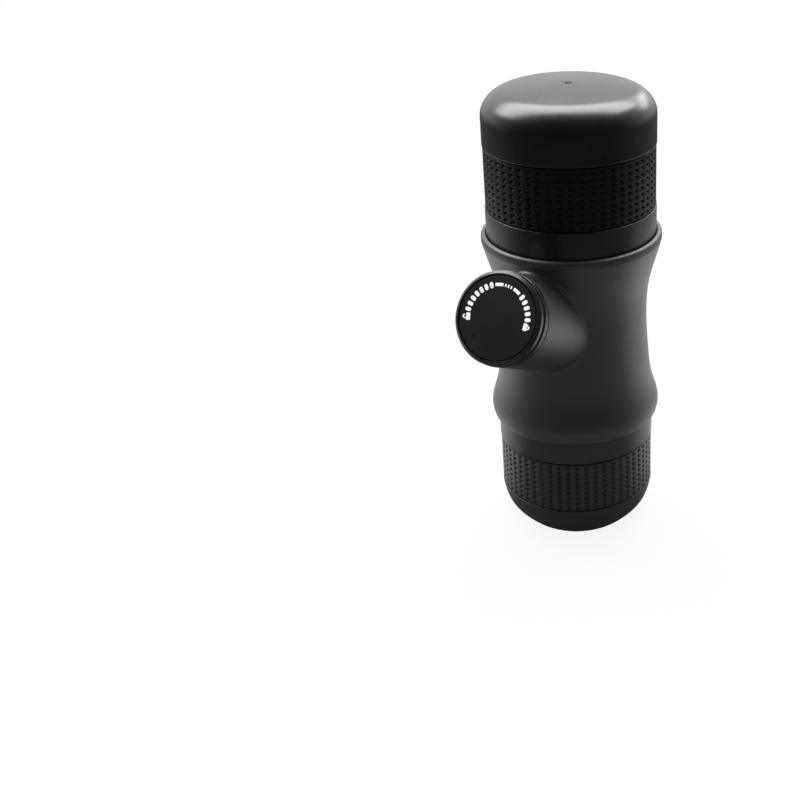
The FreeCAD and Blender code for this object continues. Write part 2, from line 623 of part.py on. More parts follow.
def pump_core():
    form = core_form()
    walls = form.cut(drum(CORE_R - CORE_WALL, FLANGE_TOP_Z + CORE_FLOOR_T, DECK_UNDER_Z))
    housing = on_pump_axis(drum(HOUSING_BORE_R + HOUSING_WALL, BARREL_START - HOUSING_WALL, BARREL_SEAT))
    duct = drum(DUCT_R, PUMP_Z, DECK_UNDER_Z, y=INLET_Y)
    pillar = drum(PILLAR_R, FLANGE_TOP_Z, FLANGE_TOP_Z + PILLAR_H, x=SCREW_CIRCLE_R)
    inner = [part.common(form) for part in [housing, duct] + core_screw_places(pillar)]
    screw_hole = drum(SCREW_R + RUN_GAP, FLANGE_TOP_Z - OVERRUN, FLANGE_TOP_Z + PILLAR_H - OVERRUN,
                      x=SCREW_CIRCLE_R)
    cuts = [on_pump_axis(drum(HOUSING_BORE_R, BARREL_START, LONG)),
            drum(PORT_R, PUMP_Z, DECK_Z, y=INLET_Y),
            drum(PORT_R, FLANGE_TOP_Z - OVERRUN, PUMP_Z, y=OUTLET_Y),
            drum(FILTER_R + RUN_GAP, DECK_Z - FILTER_T, DECK_Z, y=INLET_Y),
            drum(VALVE_R + RUN_GAP, DECK_Z - FILTER_T - VALVE_POCKET, DECK_Z, y=INLET_Y),
            drum(VENT_HOLE_R, DECK_UNDER_Z - OVERRUN, DECK_Z + OVERRUN, y=VENT_Y)]
    return fused(walls, *inner).cut(cuts + core_screw_places(screw_hole))


def umbrella_valve(y, z):
    """A soft disc with a short stem, closed by its own stiffness; z is the face that it lies on."""
    disc = drum(VALVE_R, z, z + VALVE_DISC_T, y=y)
    stem = drum(VALVE_STEM_R, z, z + VALVE_STEM_L, y=y)
    return fused(disc, stem)


def inlet_valve():
    return umbrella_valve(INLET_Y, DECK_Z - FILTER_T - VALVE_POCKET)


def outlet_valve():
    return umbrella_valve(OUTLET_Y, FLANGE_TOP_Z - VALVE_POCKET)


def water_filter():
    low = DECK_Z - FILTER_T
    disc = drum(FILTER_R, low, DECK_Z)
    shape = disc.cut(hole_field(FILTER_HOLE_R, FILTER_HOLE_PITCH, FILTER_HOLE_RINGS, low, DECK_Z))
    shape.translate(V(0, INLET_Y, 0))
    return shape


def vent_valve():
    tail_z = DECK_UNDER_Z - VENT_TAIL_T
    top = drum(VENT_HEAD_R, DECK_Z, DECK_Z + VENT_HEAD_T, y=VENT_Y)
    stem = drum(VENT_STEM_R, tail_z, DECK_Z, y=VENT_Y)
    tail = drum(VENT_TAIL_R, tail_z, DECK_UNDER_Z, y=VENT_Y)
    return fused(top, stem, tail)


# ------------------------------------------------------------------ brew flange and what it carries

def flange_form():
    """The plate under the pump core, with the outlet head's socket and the ring that stops the cup."""
    stop_r = FLANGE_R + CUP_STOP_W
    stop_top = CUP_H + CUP_STOP_T
    outline = Profile(FLANGE_BORE_R, FLANGE_END_Z).line(FLANGE_R - EDGE_ROUND, FLANGE_END_Z)
    outline.round_to((FLANGE_R, FLANGE_END_Z), FLANGE_R, FLANGE_END_Z + EDGE_ROUND)
    outline.line(FLANGE_R, CUP_H).line(stop_r, CUP_H).line(stop_r, stop_top).line(FLANGE_R, stop_top)
    outline.line(FLANGE_R, FLANGE_TOP_Z).line(0, FLANGE_TOP_Z).line(0, FLANGE_FACE_Z)
    return outline.line(FLANGE_BORE_R, FLANGE_FACE_Z).solid()


def cup_seal_ring(section):
    return o_ring(FLANGE_R - CUP_SEAL_SUNK, section, FLANGE_END_Z + CUP_SEAL_RISE)


def brew_flange():
    ridges = thread_ridges(FLANGE_BORE_R, -THREAD_DEPTH, HEAD_THREAD_Z, HEAD_THREAD_H, HALF_PITCH_TURN)
    ports = round_the_axis(drum(FLANGE_PORT_R, FLANGE_FACE_Z, FLANGE_TOP_Z, x=FLANGE_PORT_CIRCLE),
                           HOLES_PER_RING)
    for port in ports:
        port.translate(V(0, OUTLET_Y, 0))
    low, high = FLANGE_FACE_Z - OVERRUN, FLANGE_TOP_Z + OVERRUN
    cuts = [cup_seal_ring(CUP_SEAL_R + RUN_GAP),
            drum(SCREEN_R + RUN_GAP, low, SCREEN_TOP_Z),
            drum(SCREEN_R - SCREEN_LEDGE, low, SCREEN_TOP_Z + SCREEN_GAP),
            drum(VALVE_R + RUN_GAP, FLANGE_TOP_Z - VALVE_POCKET, high, y=OUTLET_Y)]
    screw_head = drum(SCREW_HEAD_R + RUN_GAP, low, FLANGE_FACE_Z + SCREW_HEAD_T, x=SCREW_CIRCLE_R)
    screw_hole = drum(SCREW_R + RUN_GAP, low, high, x=SCREW_CIRCLE_R)
    cuts += ports + core_screw_places(screw_head) + core_screw_places(screw_hole)
    return fused(flange_form(), *ridges).cut(cuts)


def core_screws():
    one = screw(SCREW_HEAD_R, SCREW_HEAD_T, SCREW_R, SCREW_LENGTH, HEX_R, HEX_DEPTH)
    one.translate(V(SCREW_CIRCLE_R, 0, FLANGE_FACE_Z + SCREW_HEAD_T))
    return Part.makeCompound(core_screw_places(one))


def shower_screen():
    disc = drum(SCREEN_R, FLANGE_FACE_Z, SCREEN_TOP_Z)
    return disc.cut(hole_field(SCREEN_HOLE_R, SCREEN_HOLE_PITCH, SCREEN_HOLE_RINGS,
                               FLANGE_FACE_Z, SCREEN_TOP_Z))


def cup_seal():
    return cup_seal_ring(CUP_SEAL_R)


# ------------------------------------------------------------------ pump

def port_cuts():
    """The inlet and outlet holes where they pass through the barrel and its liner."""
    inlet = drum(PORT_R, PUMP_Z, PUMP_Z + BARREL_R * 2, y=INLET_Y)
    outlet = drum(PORT_R, PUMP_Z - BARREL_R * 2, PUMP_Z, y=OUTLET_Y)
    return [inlet, outlet]


def pump_barrel():
    tube = drum(BARREL_R, BARREL_START, BARREL_FRONT)
    flange = drum(BARREL_FLANGE_R, BARREL_SEAT, BARREL_FRONT)
    holes = barrel_screw_holes(BARREL_SEAT - OVERRUN, BARREL_FRONT + OVERRUN)
    shape = fused(tube, flange).cut([drum(BARREL_BORE_R, CHAMBER_START, BARREL_FRONT + OVERRUN)] + holes)
    return on_pump_axis(shape).cut(port_cuts())


def cylinder_liner():
    return on_pump_axis(ring(LINER_R, LINER_OUT_R, CHAMBER_START, ROD_GUIDE_START)).cut(port_cuts())


def rod_guide():
    return on_pump_axis(ring(ROD_R + RUN_GAP, LINER_OUT_R, ROD_GUIDE_START, BARREL_FRONT))


def barrel_screws():
    one = turned_over(screw(BARREL_SCREW_HEAD_R, BARREL_SCREW_HEAD_T, BARREL_SCREW_R, BARREL_SCREW_L,
                            HEX_R, BARREL_HEX_DEPTH))
    one.translate(V(BARREL_SCREW_CIRCLE, 0, BARREL_FRONT))
    screws = round_the_axis(one, BARREL_SCREW_COUNT, BARREL_SCREW_START)
    return Part.makeCompound([on_pump_axis(copy) for copy in screws])


def seal_rings(section):
    middle = (PISTON_START + PISTON_HEAD_END) / 2
    return [o_ring(SEAL_R, section, middle + side * SEAL_PITCH / 2) for side in (-1, 1)]


def piston_rod():
    head = drum(PISTON_R - SEAL_GAP, PISTON_START, PISTON_HEAD_END)
    rod = drum(ROD_R, PISTON_START, ROD_END)
    hole = drum(KNOB_SCREW_R + RUN_GAP, ROD_END - KNOB_SCREW_L, ROD_END + OVERRUN)
    return on_pump_axis(fused(head, rod).cut(seal_rings(SEAL_SECTION_R + RUN_GAP) + [hole]))


def piston_seals():
    return Part.makeCompound([on_pump_axis(seal) for seal in seal_rings(SEAL_SECTION_R)])


def return_spring():
    first = BARREL_FRONT + SPRING_WIRE_R
    last = PLATE_BACK - SPRING_WIRE_R
    pitch = (last - first) / SPRING_TURNS
    rise = pitch / COIL_STEPS
    edges = []
    for step in range(SPRING_TURNS * COIL_STEPS):
        arc = Part.makeHelix(pitch, rise, SPRING_R)
        arc.rotate(ORIGIN, UP, FULL_TURN * step / COIL_STEPS)
        arc.translate(V(0, 0, rise * step))
        edges += arc.Edges
    circle = Part.Wire(Part.makeCircle(SPRING_WIRE_R, V(SPRING_R, 0, 0), V(0, 1, 0)))
    coil = Part.Wire(Part.__sortEdges__(edges)).makePipeShell([circle], True, True)
    coil.translate(V(0, 0, first))
    return on_pump_axis(coil)


def lock_ring():
    band = drum(BOSS_R, BOSS_LENGTH, RING_END)
    band = band.makeChamfer(RING_EDGE, [outer_rim(band, BOSS_LENGTH), outer_rim(band, RING_END)])
    spigot_end = BOSS_LENGTH - RING_SPIGOT
    spigot = drum(SPIGOT_R, spigot_end, RING_END - RING_EDGE)
    bore = drum(GUIDE_BORE_R, spigot_end - OVERRUN, RING_END + OVERRUN)
    return on_pump_axis(fused(band, spigot).cut(bore))


# ------------------------------------------------------------------ knob

def knob_cap():
    hole_r = KNOB_SCREW_R + RUN_GAP
    recess_r = KNOB_SCREW_HEAD_R + RUN_GAP
    outline = Profile(hole_r, ROD_END).line(HUB_R, ROD_END).line(HUB_R, PLATE_BACK)
    outline.line(SLEEVE_BORE_R, PLATE_BACK).line(SLEEVE_BORE_R, SLEEVE_END)
    outline.line(SLEEVE_R, SLEEVE_END).line(SLEEVE_R, KNOB_START)
    outline.line(KNOB_SIDE_R - RING_EDGE, KNOB_START).line(KNOB_SIDE_R, KNOB_START + RING_EDGE)
    outline.line(KNOB_SIDE_R, KNOB_FRONT - KNOB_BEVEL_H).line(KNOB_FLAT_R, KNOB_FRONT)
    outline.line(FACE_BORE_R, KNOB_FRONT).line(FACE_BORE_R, FACE_BACK)
    outline.line(recess_r, FACE_BACK).line(recess_r, SCREW_SEAT)
    return on_pump_axis(outline.line(hole_r, SCREW_SEAT).solid())


def knob_face():
    r = FACE_BORE_R - FACE_GAP
    outline = Profile(0, FACE_BACK).line(r, FACE_BACK).line(r, FACE_FRONT - FACE_EDGE)
    outline.round_to((r, FACE_FRONT), r - FACE_EDGE, FACE_FRONT)
    dimple = gate_dimple(FACE_GATE_R, FACE_GATE_NUB_R, FACE_GATE_DEPTH, FACE_FRONT)
    dimple.translate(V(FACE_GATE[0], FACE_GATE[1], 0))
    return on_pump_axis(outline.line(0, FACE_FRONT).solid().cut(dimple))


def knob_screw():
    one = turned_over(screw(KNOB_SCREW_HEAD_R, KNOB_SCREW_HEAD_T, KNOB_SCREW_R, KNOB_SCREW_L,
                            KNOB_HEX_R, KNOB_HEX_DEPTH))
    one.translate(V(0, 0, SCREW_SEAT))
    return on_pump_axis(one)


# ------------------------------------------------------------------ tank

def water_tank():
    """The domed tank, open at its lower end, where the mouth is welded in."""
    outline = Profile(TANK_SEAT_R, TANK_SHOULDER_Z).line(TANK_R - TANK_EDGE, TANK_SHOULDER_Z)
    outline.line(TANK_R, TANK_SHOULDER_Z + TANK_EDGE).line(TANK_R, TANK_GRIP_Z - EDGE_ROUND)
    outline.round_to((TANK_R, TANK_GRIP_Z), TANK_R - EDGE_ROUND, TANK_GRIP_Z)
    outline.line(TANK_GROOVE_R, TANK_GRIP_Z).line(TANK_GROOVE_R, TANK_GRIP_TOP)
    outline.line(TANK_R - EDGE_ROUND, TANK_GRIP_TOP)
    outline.round_to((TANK_R, TANK_GRIP_TOP), TANK_R, TANK_GRIP_TOP + EDGE_ROUND)
    top_r = TANK_R - TANK_ROUND
    lean = TANK_CROWN / (top_r / 2)
    outline.line(TANK_R, TANK_RIM_Z - TANK_ROUND)
    outline.round_to((TANK_R, TANK_RIM_Z - lean * TANK_ROUND), top_r, TANK_RIM_Z)
    outline.round_to((top_r / 2, TANK_TOP_Z), 0, TANK_TOP_Z)
    ceiling_z = TANK_RIM_Z - TANK_TOP_WALL
    bore_round = TANK_ROUND - (TANK_R - TANK_BORE_R)
    outline.line(0, ceiling_z).line(TANK_BORE_R - bore_round, ceiling_z)
    outline.round_to((TANK_BORE_R, ceiling_z), TANK_BORE_R, ceiling_z - bore_round)
    outline.line(TANK_BORE_R, TANK_FLOOR_Z).line(TANK_SEAT_R, TANK_FLOOR_Z)
    dimple = gate_dimple(TANK_GATE_R, TANK_GATE_NUB_R, TANK_GATE_DEPTH, TANK_TOP_Z)
    return outline.solid().cut(dimple)


def tank_mouth():
    """The tank's floor, with the threaded mouth that screws into the socket."""
    outline = Profile(NECK_R, MOUTH_END_Z).line(MOUTH_R, MOUTH_END_Z).line(MOUTH_R, TANK_SHOULDER_Z)
    outline.line(TANK_SEAT_R - RUN_GAP, TANK_SHOULDER_Z).line(TANK_SEAT_R - RUN_GAP, TANK_FLOOR_Z)
    outline.line(NECK_R, TANK_FLOOR_Z)
    ridges = thread_ridges(MOUTH_R, THREAD_DEPTH, TANK_THREAD_Z, TANK_THREAD_H)
    return fused(outline.solid(), *ridges)


def tank_grip():
    return ring(TANK_GROOVE_R, TANK_R - GRIP_SINK, TANK_GRIP_Z, TANK_GRIP_TOP)


def tank_gasket():
    return ring(NECK_R - GASKET_LIP, MOUTH_R, DECK_Z, MOUTH_END_Z)


# ------------------------------------------------------------------ outlet head

def outlet_head():
    """The threaded shell that holds the basket. It is open below for the funnel."""
    seat_top = FUNNEL_TOP_Z + FUNNEL_SPIGOT_H
    bore_end = BASKET_END_Z - SEAT_GAP
    outline = Profile(FUNNEL_SEAT_R, FUNNEL_TOP_Z).line(HEAD_LOW_R, FUNNEL_TOP_Z)
    outline.line(HEAD_R, HEAD_SHOULDER_Z - EDGE_ROUND)
    outline.round_to((HEAD_R, HEAD_SHOULDER_Z), HEAD_R - EDGE_ROUND, HEAD_SHOULDER_Z)
    outline.line(HEAD_THREAD_R, HEAD_SHOULDER_Z).line(HEAD_THREAD_R, HEAD_TOP_Z)
    outline.line(HEAD_RIM_BORE_R, HEAD_TOP_Z).line(HEAD_RIM_BORE_R, BASKET_SEAT_Z)
    outline.line(HEAD_BORE_R, BASKET_SEAT_Z).line(HEAD_BORE_R, bore_end).line(FUNNEL_R, bore_end)
    outline.line(FUNNEL_R, seat_top).line(FUNNEL_SEAT_R, seat_top)
    ridges = thread_ridges(HEAD_THREAD_R, THREAD_DEPTH, HEAD_THREAD_Z, HEAD_THREAD_H)
    return fused(outline.solid(), *ridges)


def outlet_funnel():
    """The rounded lower end of the outlet head, with the funnel that leads the coffee to the nozzle."""
    bore_r = NOZZLE_R + RUN_GAP
    spigot_r = FUNNEL_SEAT_R - RUN_GAP
    spigot_top = FUNNEL_TOP_Z + FUNNEL_SPIGOT_H - RUN_GAP
    outline = Profile(bore_r, DISH_Z).line(DISH_R - DISH_DEPTH, DISH_Z).line(DISH_R, HEAD_END_Z)
    outline.line(HEAD_LOW_R - HEAD_ROUND, HEAD_END_Z)
    outline.round_to((HEAD_LOW_R, HEAD_END_Z), HEAD_LOW_R, FUNNEL_TOP_Z).line(spigot_r, FUNNEL_TOP_Z)
    outline.line(spigot_r, spigot_top).line(FUNNEL_R, spigot_top).line(FUNNEL_R, FUNNEL_TOP_Z)
    return outline.line(bore_r, DISH_Z + HEAD_WALL).solid()


def spout_nozzle():
    """The ring at the bottom of the funnel that the coffee runs out of."""
    low_z = DISH_Z - NOZZLE_LIP
    outline = Profile(SPOUT_R, low_z).line(NOZZLE_R - EDGE_ROUND, low_z)
    outline.round_to((NOZZLE_R, low_z), NOZZLE_R, low_z + EDGE_ROUND)
    outline.line(NOZZLE_R, DISH_Z + HEAD_WALL)
    return outline.line(SPOUT_R, low_z + NOZZLE_THROAT).solid()


def filter_basket():
    inner_r = BASKET_R - BASKET_WALL
    floor_z = BASKET_END_Z + BASKET_WALL
    outline = Profile(0, BASKET_END_Z).line(BASKET_R, BASKET_END_Z).line(BASKET_R, BASKET_SEAT_Z)
    outline.line(BASKET_RIM_R, BASKET_SEAT_Z).line(BASKET_RIM_R, BASKET_TOP_Z).line(inner_r, BASKET_TOP_Z)
    outline.line(inner_r, floor_z).line(0, floor_z)
    holes = hole_field(BASKET_HOLE_R, BASKET_HOLE_PITCH, BASKET_HOLE_RINGS, BASKET_END_Z, floor_z)
    return outline.solid().cut(holes)


def brew_gasket():
    return ring(BREW_GASKET_IN, BREW_GASKET_OUT, BASKET_TOP_Z, FLANGE_FACE_Z)


PARTS = [body_shell, tank_socket, pump_core, brew_flange, core_screws, pump_barrel, cylinder_liner,
         barrel_screws, rod_guide, lock_ring, water_filter, inlet_valve, outlet_valve, vent_valve,
         shower_screen, cup_seal, return_spring, tank_gasket, water_tank, tank_mouth, tank_grip,
         brew_gasket, outlet_head, outlet_funnel, spout_nozzle, filter_basket, cup_body, cup_grip,
         piston_rod, piston_seals, knob_cap, knob_face, knob_screw]


def main():
    os.makedirs("parts", exist_ok=True)
    for make in PARTS:
        shape = make()
        name = make.__name__
        shape.exportStep("parts/" + name + ".step")
        size = shape.BoundBox
        print(f"{name}: {len(shape.Solids)} solid(s), {shape.Volume:.1f} mm3, valid {shape.isValid()}, "
              f"z {size.ZMin:.2f} to {size.ZMax:.2f}")


main()
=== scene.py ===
import json
import math

import bpy
from mathutils import Matrix, Vector


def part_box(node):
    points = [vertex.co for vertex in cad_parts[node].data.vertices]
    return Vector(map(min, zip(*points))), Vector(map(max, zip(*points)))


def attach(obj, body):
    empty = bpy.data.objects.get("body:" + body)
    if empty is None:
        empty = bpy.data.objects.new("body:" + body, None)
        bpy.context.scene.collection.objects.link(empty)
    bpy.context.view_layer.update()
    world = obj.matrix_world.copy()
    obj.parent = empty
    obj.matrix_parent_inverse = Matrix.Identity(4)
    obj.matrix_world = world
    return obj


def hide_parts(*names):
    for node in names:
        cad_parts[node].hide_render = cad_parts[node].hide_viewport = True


# The looks of a handheld espresso maker: the finish of every piece, the dimpled rubber grips on
# the tank and the cup, and the print on the knob. Metres. +Z is up, and the knob is on the -Y side.

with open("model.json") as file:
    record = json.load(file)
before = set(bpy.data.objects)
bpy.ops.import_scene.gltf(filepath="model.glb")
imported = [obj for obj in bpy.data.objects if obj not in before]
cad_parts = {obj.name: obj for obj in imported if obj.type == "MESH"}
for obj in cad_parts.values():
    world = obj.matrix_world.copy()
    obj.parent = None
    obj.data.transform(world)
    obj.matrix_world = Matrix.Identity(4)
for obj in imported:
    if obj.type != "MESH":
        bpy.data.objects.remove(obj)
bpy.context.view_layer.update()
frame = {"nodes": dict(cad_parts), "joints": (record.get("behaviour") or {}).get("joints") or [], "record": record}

MM = 0.001
UP = Vector((0, 0, 1))

# ------------------------------------------------------------------ camera
CAMERA_PLACE = (0.19482, -0.38828, 0.28810)
CAMERA_HEADING = 25.334     # degrees, from +Y towards -X
CAMERA_PITCH = -25.968      # degrees, from the horizon upwards
CAMERA_ROLL = -0.805        # degrees
CAMERA_LENS = 56.781        # its focal length and its sensor's width, in mm
CAMERA_SENSOR = 36.0
CAMERA_SHIFT = (-0.25, -0.08)     # shares of the picture's width

# ------------------------------------------------------------------ grips
DIMPLE_COLUMNS = 54
TANK_DIMPLE_ROWS = 9
CUP_DIMPLE_ROWS = 9
DIMPLE_WIDTH = 1.9 * MM     # round the grip
DIMPLE_HEIGHT = 1.55 * MM
DIMPLE_DEPTH = 0.55 * MM
DIMPLE_RINGS = [(1.10, 0.0), (1.0, 0.08), (0.80, 0.50), (0.45, 0.88)]   # share of its size, and of its depth
CELL_STEPS = 4              # divisions along each side of a dimple's cell
GRIP_EDGE = 0.22 * MM       # radius that rounds the grips' upper and lower edges
GRIP_GAP = 0.45 * MM        # groove left open above and below each grip
GRIP_EDGE_STEPS = 3
SAME_HEIGHT = 0.001 * MM    # points this close in height are on one rim

# ------------------------------------------------------------------ print on the knob
PRINT_THICK = 0.03 * MM
PRINT_R = 11.4 * MM         # middle of the marks' arc
MARK_HEIGHT = 2.2 * MM      # radial, of the bars that stand where the lettering was
MARK_WIDTH = 1.3 * MM
DASH_HEIGHT = 1.1 * MM
TICK_WIDTH = 0.6 * MM
OPEN_LOCK_AT = 186.0        # bearings in degrees, anticlockwise from the face's right
OPEN_BARS = (173.5, 112.0, 7)     # first, last, how many
CLOSED_BARS = (47.0, 6.5, 5)
CLOSED_LOCK_AT = -6.0
DASHES = [(105.0, 89.5), (68.7, 54.5)]
TICKS = [85.0, 79.5, 74.0]
ARC_STEP = 2.0              # degrees between points along an arc
LOCK_WIDTH = 2.5 * MM       # the padlocks' bodies
LOCK_HEIGHT = 1.55 * MM
LOCK_CORNER = 0.3 * MM
LOCK_DROP = 0.45 * MM       # how far a body's middle lies inside the arc
SHACKLE_R = 0.75 * MM
SHACKLE_WIDTH = 0.42 * MM
SHACKLE_SUNK = 0.05 * MM    # how far its ends reach into the body
OPEN_LIFT = 0.55 * MM       # how far an open shackle and a closed one stand out of the body
CLOSED_LIFT = 0.1 * MM
OPEN_END = 0.15 * MM        # how far the free end of an open shackle comes down


# ------------------------------------------------------------------ materials
NOISE = (0.3, 0.7)          # the range that most of a noise lies in
EDGE_SAMPLES = 4


class Finish:
    """A node material in the making: its tree, its shader, and short ways to add and join nodes."""

    def __init__(self, name):
        self.material = bpy.data.materials.new(name)
        self.material.use_nodes = True
        self.nodes = self.material.node_tree.nodes
        self.links = self.material.node_tree.links
        self.shader = self.nodes["Principled BSDF"]
        self.where = self.nodes.new("ShaderNodeTexCoord").outputs["Object"]

    def set(self, **values):
        for name, value in values.items():
            self.shader.inputs[name.replace("_", " ")].default_value = value

    def join(self, output, name):
        self.links.new(output, self.shader.inputs[name])

    def stretched(self, scale):
        """The object's own coordinates, stretched by this much along each axis."""
        node = self.nodes.new("ShaderNodeMapping")
        node.inputs["Scale"].default_value = scale
        self.links.new(self.where, node.inputs["Vector"])
        return node.outputs["Vector"]

    def noise(self, size, detail=2.0, where=None):
        """Cloudy noise whose patches are about this size in metres."""
        node = self.nodes.new("ShaderNodeTexNoise")
        node.inputs["Scale"].default_value = 1 / size
        node.inputs["Detail"].default_value = detail
        self.links.new(where or self.where, node.inputs["Vector"])
        return node.outputs["Fac"]

    def cells(self, size):
        """Distance to the middle of scattered cells of about this size in metres."""
        node = self.nodes.new("ShaderNodeTexVoronoi")
        node.inputs["Scale"].default_value = 1 / size
        self.links.new(self.where, node.inputs["Vector"])
        return node.outputs["Distance"]

    def spread(self, value, low, high, to_low, to_high):
        """Maps a value from one range to another, and holds it there."""
        node = self.nodes.new("ShaderNodeMapRange")
        node.clamp = True
        for name, number in zip(("From Min", "From Max", "To Min", "To Max"), (low, high, to_low, to_high)):
            node.inputs[name].default_value = number
        self.links.new(value, node.inputs["Value"])
        return node.outputs["Result"]

    def sum(self, first, second):
        node = self.nodes.new("ShaderNodeMath")
        node.operation = "ADD"
        self.links.new(first, node.inputs[0])
        self.links.new(second, node.inputs[1])
        return node.outputs["Value"]

    def tint(self, share, colour, darkest, lightest):
        """Makes the base colour vary, by this share, between these multiples of the one given."""
        node = self.nodes.new("ShaderNodeMix")
        node.data_type = "RGBA"
        for name, times in (("A", darkest), ("B", lightest)):
            node.inputs[name].default_value = (*(channel * times for channel in colour), 1)
        self.links.new(share, node.inputs["Factor"])
        self.join(node.outputs["Result"], "Base Color")

    def emboss(self, height, depth, edge=None):
        """Adds a relief whose full height is this depth, and rounds sharp edges by this radius."""
        node = self.nodes.new("ShaderNodeBump")
        node.inputs["Strength"].default_value = 1.0
        node.inputs["Distance"].default_value = depth
        self.links.new(height, node.inputs["Height"])
        if edge:
            rounded = self.nodes.new("ShaderNodeBevel")
            rounded.samples = EDGE_SAMPLES
            rounded.inputs["Radius"].default_value = edge
            self.links.new(rounded.outputs["Normal"], node.inputs["Normal"])
        self.join(node.outputs["Normal"], "Normal")


def moulded(name, colour, roughness, grain=0.3 * MM, grain_depth=0.006 * MM, edge=0.1 * MM, ior=1.5):
    """Moulded plastic: an eroded grain, cloudy gloss, and the faint upright rubs of handling."""
    finish = Finish(name)
    clouds = finish.noise(14 * MM, detail=3.0)
    rubs = finish.noise(0.5 * MM, detail=3.0, where=finish.stretched((1, 1, 0.07)))
    speckle = finish.cells(0.45 * MM)
    tone = finish.sum(finish.spread(clouds, *NOISE, 0, 0.7), finish.spread(speckle, 0.0, 0.6, 0.3, 0))
    finish.tint(tone, colour, 0.86, 1.18)
    gloss = finish.sum(finish.spread(clouds, *NOISE, roughness - 0.03, roughness + 0.03),
                       finish.spread(rubs, 0.58, 0.75, 0, -0.05))
    finish.join(gloss, "Roughness")
    grains = finish.noise(grain)
    relief = finish.sum(grains, finish.spread(finish.cells(grain * 1.7), 0, 1, 0, 0.5))
    finish.emboss(relief, grain_depth, edge)
    finish.set(IOR=ior)
    return finish


def polished(name, colour, roughness):
    """Polished plastic: no grain, hairline scratches, and a thin gloss over it."""
    finish = Finish(name)
    clouds = finish.noise(9 * MM, detail=3.0)
    scratches = finish.noise(0.25 * MM, where=finish.stretched((0.05, 1, 1)))
    finish.tint(finish.spread(clouds, *NOISE, 0, 1), colour, 0.85, 1.15)
    gloss = finish.sum(finish.spread(clouds, *NOISE, roughness, roughness + 0.05),
                       finish.spread(scratches, 0.62, 0.75, 0, 0.08))
    finish.join(gloss, "Roughness")
    finish.emboss(scratches, 0.0012 * MM, edge=0.12 * MM)
    finish.set(IOR=1.46, Coat_Weight=0.12, Coat_Roughness=0.16)
    return finish


def rubber(name, colour, roughness, ior):
    """Soft-touch rubber: a pitted skin with dust in it."""
    finish = Finish(name)
    dust = finish.noise(2.2 * MM, detail=5.0)
    pits = finish.cells(0.22 * MM)
    tone = finish.sum(finish.spread(dust, 0.4, 0.75, 0, 0.8), finish.spread(pits, 0, 0.35, 0.2, 0))
    finish.tint(tone, colour, 0.85, 1.3)
    finish.join(finish.spread(dust, *NOISE, roughness - 0.05, roughness + 0.06), "Roughness")
    relief = finish.sum(finish.noise(0.16 * MM), finish.spread(pits, 0, 0.5, 0, 0.6))
    finish.emboss(relief, 0.008 * MM)
    finish.set(IOR=ior)
    return finish


def silicone(name, colour):
    """Translucent silicone with a faint bloom on it."""
    finish = Finish(name)
    bloom = finish.noise(3 * MM, detail=4.0)
    finish.tint(finish.spread(bloom, 0.35, 0.7, 0, 1), colour, 0.9, 1.2)
    finish.join(finish.spread(bloom, *NOISE, 0.38, 0.52), "Roughness")
    finish.emboss(finish.noise(0.3 * MM), 0.004 * MM, edge=0.1 * MM)
    finish.set(IOR=1.41, Subsurface_Weight=0.25, Subsurface_Scale=1.5 * MM)
    return finish


def brushed_steel(name, colour):
    """Stainless steel with fine turning marks round the main axis."""
    finish = Finish(name)
    lines = finish.noise(0.12 * MM, detail=3.0, where=finish.stretched((0.04, 0.04, 1)))
    stain = finish.noise(6 * MM, detail=4.0)
    finish.tint(finish.spread(stain, *NOISE, 0, 1), colour, 0.9, 1.06)
    gloss = finish.sum(finish.spread(stain, *NOISE, 0.2, 0.28), finish.spread(lines, *NOISE, 0, 0.08))
    finish.join(gloss, "Roughness")
    finish.emboss(lines, 0.003 * MM, edge=0.08 * MM)
    finish.set(Metallic=1.0)
    return finish


def ink(name, colour):
    """Pad-printed white ink: slightly uneven cover, and a dry surface."""
    finish = Finish(name)
    cover = finish.noise(0.5 * MM, detail=3.0)
    finish.tint(finish.spread(cover, 0.3, 0.6, 0, 1), colour, 0.88, 1.0)
    finish.join(finish.spread(cover, *NOISE, 0.5, 0.62), "Roughness")
    finish.emboss(finish.noise(0.12 * MM), 0.004 * MM)
    finish.set(IOR=1.45)
    return finish


FINISHES = {
    "body_plastic": moulded("body_plastic", (0.009, 0.0092, 0.0095), 0.46, grain_depth=0.007 * MM, ior=1.85),
    "core_plastic": moulded("core_plastic", (0.02, 0.02, 0.022), 0.4, edge=0.15 * MM),
    "guide_plastic": moulded("guide_plastic", (0.5, 0.5, 0.47), 0.35, grain_depth=0.003 * MM),
    "tank_plastic": moulded("tank_plastic", (0.003, 0.003, 0.0032), 0.3, grain_depth=0.004 * MM, ior=1.6),
    "head_plastic": moulded("head_plastic", (0.02, 0.02, 0.021), 0.36),
    "cup_plastic": moulded("cup_plastic", (0.012, 0.012, 0.012), 0.4),
    "knob_plastic": polished("knob_plastic", (0.008, 0.008, 0.0084), 0.27),
    "face_plastic": moulded("face_plastic", (0.005, 0.005, 0.0052), 0.5, grain=0.2 * MM, edge=0.05 * MM),
    "grip_rubber": rubber("grip_rubber", (0.0016, 0.0016, 0.0017), 0.42, ior=1.33),
    "silicone": silicone("silicone", (0.2, 0.2, 0.2)),
    "steel": brushed_steel("steel", (0.62, 0.61, 0.6)),
}
# Painted light: a lighter, more reflective copy of the grip rubber for the cup's grip, standing in for the light
# that the floor throws up onto the cup.
LIT_CUP_RUBBER = rubber("lit_cup_rubber", (0.0035, 0.0035, 0.0036), 0.48, ior=1.75)
INK = ink("white_ink", (0.9, 0.9, 0.89))


def finish_cad_nodes():
    """Gives every CAD node the finish of the material slot that the record names for it."""
    for subpart in frame["record"]["subparts"]:
        mesh = frame["nodes"][subpart["node"]].data
        mesh.materials.clear()
        mesh.materials.append(FINISHES[subpart["material_slot"]].material)


# ------------------------------------------------------------------ meshes

